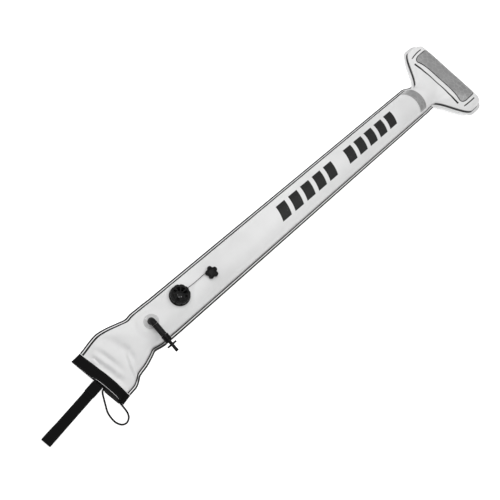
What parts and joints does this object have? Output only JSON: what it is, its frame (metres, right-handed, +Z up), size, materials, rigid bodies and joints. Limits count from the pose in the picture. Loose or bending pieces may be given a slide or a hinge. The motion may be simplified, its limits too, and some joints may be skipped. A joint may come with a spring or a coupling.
{
  "type": "surface marker buoy",
  "caption": "Inflated diver's marker buoy: long fabric tube with a T-shaped float head, dump valve with pull knob, oral inflator, bound open mouth, webbing strap and cord loop.",
  "frame": {"origin": "on the floor, under the tube's flat belly, halfway between the mouth's edge and the head's crest", "axes": "+X along the tube from the mouth to the head, +Y to its left, +Z up, away from the floor"},
  "size_m": [1.6727, 0.3061, 0.1033],
  "materials": {
    "coated_fabric": "white coated fabric, satin",
    "edge_tape": "white folded tape with black edge lines",
    "black_webbing": "black woven webbing",
    "reflective_grey": "grey retro-reflective tape",
    "clear_film": "thin milky film",
    "black_plastic": "moulded black plastic",
    "grey_plastic": "moulded grey plastic",
    "black_rubber": "black rubber",
    "spring_steel": "drawn stainless wire",
    "black_cord": "black braided cord"
  },
  "bodies": {
    "envelope": {"mouth_front_panel": "coated_fabric", "mouth_back_panel": "coated_fabric", "tube_front_panel": "coated_fabric", "tube_back_panel": "coated_fabric", "head_front_panel": "coated_fabric", "head_back_panel": "coated_fabric", "left_edge_binding": "edge_tape", "right_edge_binding": "edge_tape", "front_reflective_band": "reflective_grey", "back_weld_strip": "coated_fabric", "head_reflective_panel": "reflective_grey", "front_mouth_tape": "black_webbing", "back_mouth_tape": "black_webbing", "strap_tail": "black_webbing", "cord_loop": "black_cord", "valve_base": "black_plastic", "valve_gasket": "black_rubber", "valve_ring": "black_plastic", "valve_spring": "spring_steel", "valve_cap": "black_plastic", "inflator_flange": "grey_plastic", "inflator_elbow": "black_rubber", "inflator_hose": "black_rubber", "inflator_collar": "black_plastic", "nozzle_spring": "spring_steel", "nozzle_o_ring": "black_rubber"},
    "strap": {"strap": "black_webbing", "strap_keeper": "black_webbing"},
    "pull": {"pull_cord": "black_cord", "pull_knob": "black_plastic"},
    "poppet": {"valve_poppet": "black_plastic", "poppet_seal": "black_rubber"},
    "nozzle": {"inflator_nozzle": "black_plastic", "nozzle_seal": "black_rubber"},
    "front_flap": {"front_baffle_flap": "clear_film"},
    "back_flap": {"back_baffle_flap": "clear_film"}
  },
  "joints": [
    {"name": "strap_fold", "type": "hinge", "parent": "envelope", "child": "strap", "pos_m": [-0.7538, -0.01164, 0.006], "axis": [-0.1392, 0.9903, 0], "range_deg": [0, 90]},
    {"name": "knob_pull", "type": "slide", "parent": "envelope", "child": "pull", "axis": [1, 0, 0], "range_m": [0, 0.004], "stiffness_N_per_m": 400, "springref_m": -0.002},
    {"name": "poppet_lift", "type": "slide", "parent": "envelope", "child": "poppet", "axis": [0, 0, 1], "range_m": [0, 0.004], "deforming": ["valve_spring"]},
    {"name": "nozzle_push", "type": "slide", "parent": "envelope", "child": "nozzle", "axis": [0.0045, 0.9873, 0.1591], "range_m": [0, 0.0035], "stiffness_N_per_m": 800, "springref_m": -0.003, "deforming": ["nozzle_spring"]},
    {"name": "front_flap_open", "type": "hinge", "parent": "envelope", "child": "front_flap", "pos_m": [-0.7075, -0.01004, 0.0227], "axis": [0.1205, -0.9927, 0], "range_deg": [0, 6], "stiffness_Nm_per_rad": 0.01, "springref_deg": -17.19},
    {"name": "back_flap_open", "type": "hinge", "parent": "envelope", "child": "back_flap", "pos_m": [-0.7075, -0.01004, 0.0026], "axis": [-0.1205, 0.9927, 0], "range_deg": [0, 6]}
  ],
  "couplings": [
    {"joint": "poppet_lift", "follows": "knob_pull", "ratio": 1},
    {"joint": "back_flap_open", "follows": "front_flap_open", "ratio": 1}
  ]
}
